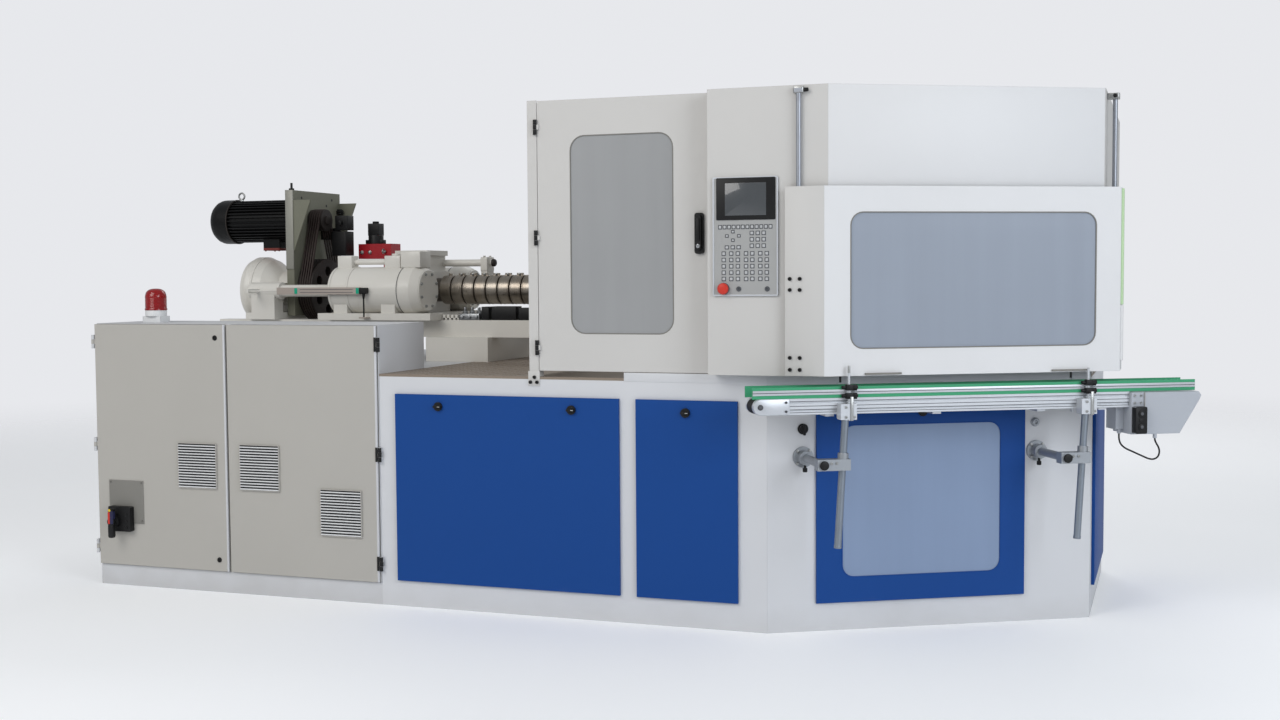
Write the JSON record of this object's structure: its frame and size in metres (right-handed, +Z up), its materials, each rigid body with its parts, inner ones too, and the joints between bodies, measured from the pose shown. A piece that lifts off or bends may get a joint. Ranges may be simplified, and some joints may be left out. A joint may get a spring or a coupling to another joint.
{
  "type": "injection blow molding machine",
  "caption": "Injection blow molding machine: guarded press with index table, open plasticising drive with heater-banded barrel, switch cabinet and take-off conveyor.",
  "frame": {"origin": "on the floor, on the axis of the index table", "axes": "+X along the machine towards the take-off end, +Y from the operator side to the rear, +Z up"},
  "size_m": [5.7702, 3.1956, 2.483],
  "materials": {
    "base_white": "satin",
    "deck_brown": "chequered",
    "cabinet_grey": "satin",
    "switch_red": "moulded",
    "switchgear": "moulded",
    "beacon_red": "clear moulded",
    "pack_grey": "satin",
    "panel_blue": "satin",
    "pane": "frosted",
    "black_plastic": "moulded",
    "guard_white": "satin",
    "rail_steel": "ground",
    "panel_grey": "satin",
    "press_steel": "machined",
    "crown_white": "satin",
    "casting_white": "satin",
    "barrel_steel": "turned",
    "band_steel": "rolled",
    "gauge_silver": "anodised",
    "valve_red": "satin",
    "plate_olive": "satin",
    "motor_black": "satin",
    "pulley_iron": "turned",
    "belt_rubber": "ribbed",
    "profile_alu": "anodised",
    "rail_green": "extruded",
    "drive_grey": "satin",
    "roller_steel": "turned",
    "cord_black": "smooth"
  },
  "bodies": {
    "base": {"floor_plate": "base_white", "front_frame": "base_white", "chamfer_frame": "base_white", "base_back_walls": "base_white", "injection_bed": "base_white", "base_deck": "deck_brown", "cabinet_shell": "cabinet_grey", "switchgear": "switchgear", "beacon_lens": "beacon_red", "power_pack": "pack_grey", "guard_left_wall": "guard_white", "guard_column": "guard_white", "guard_upper_panel": "guard_white", "guard_back_walls": "guard_white", "guard_rails": "rail_steel", "support_arms": "rail_steel", "control_panel": "panel_grey", "lower_platen": "press_steel", "press_crowns": "crown_white", "slide_bed": "casting_white"},
    "cabinet_left_door": {"cabinet_left_door": "cabinet_grey"},
    "isolator": {"isolator_handle": "switch_red"},
    "cabinet_right_door": {"cabinet_right_door": "cabinet_grey"},
    "large_panel": {"large_panel": "panel_blue"},
    "latch_left": {"latch_left": "black_plastic"},
    "latch_right": {"latch_right": "black_plastic"},
    "small_panel": {"small_panel": "panel_blue"},
    "latch_small": {"latch_small": "black_plastic"},
    "chamfer_panel": {"chamfer_panel": "panel_blue", "chamfer_window": "pane"},
    "latch_chamfer": {"latch_chamfer": "black_plastic"},
    "guard_door": {"guard_door": "guard_white", "guard_window": "pane"},
    "guard_handle": {"guard_handle": "black_plastic"},
    "lift_guard": {"lift_guard": "guard_white", "lift_window": "pane"},
    "emergency_stop": {"emergency_stop": "switch_red"},
    "carriage": {"carriage": "casting_white", "injection_cylinders": "casting_white", "barrel": "barrel_steel", "heater_bands": "band_steel", "transducer": "gauge_silver", "valve_block": "valve_red"},
    "crosshead": {"crosshead": "casting_white", "motor_plate": "plate_olive", "drive_motor": "motor_black", "drive_belts": "belt_rubber"},
    "motor_pulley": {"motor_pulley": "pulley_iron"},
    "screw": {"screw": "pulley_iron"},
    "injection_platen": {"injection_platen": "press_steel"},
    "blow_platen": {"blow_platen": "press_steel"},
    "lift_spindle": {"lift_spindle": "press_steel"},
    "index_table": {"index_table": "press_steel"},
    "stripper": {"stripper": "press_steel"},
    "conveyor": {"conveyor_frame": "profile_alu", "conveyor_belt": "belt_rubber", "guide_rails": "rail_green", "conveyor_drive": "drive_grey", "drive_cord": "cord_black"},
    "idler_roller": {"idler_roller": "roller_steel"}
  },
  "joints": [
    {"name": "cabinet_left_door_hinge", "type": "hinge", "parent": "base", "child": "cabinet_left_door", "pos_m": [-3.839, -1.411, 0.765], "axis": [0, 0, -1], "range_deg": [0, 95]},
    {"name": "isolator_turn", "type": "hinge", "parent": "cabinet_left_door", "child": "isolator", "pos_m": [-3.692, -1.447, 0.356], "axis": [0, -1, 0], "range_deg": [0, 90]},
    {"name": "cabinet_right_door_hinge", "type": "hinge", "parent": "base", "child": "cabinet_right_door", "pos_m": [-2.107, -1.411, 0.765], "axis": [0, 0, 1], "range_deg": [0, 95]},
    {"name": "large_panel_tilt", "type": "hinge", "parent": "base", "child": "large_panel", "pos_m": [-1.4235, -1.3953, 0.131], "axis": [1, 0, 0], "range_deg": [0, 20]},
    {"name": "latch_left_turn", "type": "hinge", "parent": "large_panel", "child": "latch_left", "pos_m": [-1.776, -1.41, 1.01], "axis": [0, -1, 0], "range_deg": [0, 90]},
    {"name": "latch_right_turn", "type": "hinge", "parent": "large_panel", "child": "latch_right", "pos_m": [-1.069, -1.41, 1.01], "axis": [0, -1, 0], "range_deg": [0, 90]},
    {"name": "small_panel_tilt", "type": "hinge", "parent": "base", "child": "small_panel", "pos_m": [-0.497, -1.3953, 0.131], "axis": [1, 0, 0], "range_deg": [0, 20]},
    {"name": "latch_small_turn", "type": "hinge", "parent": "small_panel", "child": "latch_small", "pos_m": [-0.498, -1.41, 1.01], "axis": [0, -1, 0], "range_deg": [0, 90]},
    {"name": "chamfer_panel_tilt", "type": "hinge", "parent": "base", "child": "chamfer_panel", "pos_m": [0.52944, -1.02501, 0.131], "axis": [0.866, 0.5, 0], "range_deg": [0, 5]},
    {"name": "latch_chamfer_turn", "type": "hinge", "parent": "chamfer_panel", "child": "latch_chamfer", "pos_m": [0.52929, -1.02475, 1.01], "axis": [0.5, -0.866, 0], "range_deg": [0, 90]},
    {"name": "guard_door_hinge", "type": "hinge", "parent": "base", "child": "guard_door", "pos_m": [-1.247, -1.404, 1.831], "axis": [0, 0, -1], "range_deg": [0, 100]},
    {"name": "guard_handle_turn", "type": "hinge", "parent": "guard_door", "child": "guard_handle", "pos_m": [-0.429, -1.395, 1.915], "axis": [0, 1, 0], "range_deg": [0, 90]},
    {"name": "guard_lift", "type": "slide", "parent": "base", "child": "lift_guard", "axis": [0, 0, 1], "range_m": [0, 0.45]},
    {"name": "stop_press", "type": "slide", "parent": "base", "child": "emergency_stop", "axis": [0, 1, 0], "range_m": [0, 0.005], "stiffness_N_per_m": 1500},
    {"name": "carriage_slide", "type": "slide", "parent": "base", "child": "carriage", "axis": [1, 0, 0], "range_m": [-0.25, 0]},
    {"name": "inject_slide", "type": "slide", "parent": "carriage", "child": "crosshead", "axis": [1, 0, 0], "range_m": [0, 0.16]},
    {"name": "motor_spin", "type": "hinge", "parent": "crosshead", "child": "motor_pulley", "pos_m": [-3.29, 0, 1.995], "axis": [1, 0, 0], "continuous": true},
    {"name": "screw_spin", "type": "hinge", "parent": "crosshead", "child": "screw", "pos_m": [-3.29, 0, 1.57], "axis": [1, 0, 0], "continuous": true},
    {"name": "clamp_close", "type": "slide", "parent": "base", "child": "injection_platen", "axis": [0, 0, -1], "range_m": [0, 0.16]},
    {"name": "blow_clamp_close", "type": "slide", "parent": "base", "child": "blow_platen", "axis": [0, 0, -1], "range_m": [0, 0.16]},
    {"name": "table_lower", "type": "slide", "parent": "base", "child": "lift_spindle", "axis": [0, 0, -1], "range_m": [0, 0.08]},
    {"name": "table_index", "type": "hinge", "parent": "lift_spindle", "child": "index_table", "pos_m": [0, 0, 1.65], "axis": [0, 0, 1], "continuous": true},
    {"name": "strip_slide", "type": "slide", "parent": "base", "child": "stripper", "axis": [0.5, -0.866, 0], "range_m": [0, 0.13]},
    {"name": "conveyor_height", "type": "slide", "parent": "base", "child": "conveyor", "axis": [0.0514, 0.0297, 0.9982], "range_m": [-0.12, 0.03]},
    {"name": "idler_spin", "type": "hinge", "parent": "conveyor", "child": "idler_roller", "pos_m": [-0.09957, -1.62454, 1.068], "axis": [-0.5, 0.866, 0], "continuous": true}
  ],
  "couplings": [
    {"joint": "screw_spin", "follows": "motor_spin", "ratio": 0.3421},
    {"joint": "blow_clamp_close", "follows": "clamp_close", "ratio": 1},
    {"joint": "table_lower", "follows": "clamp_close", "ratio": 0.5}
  ]
}
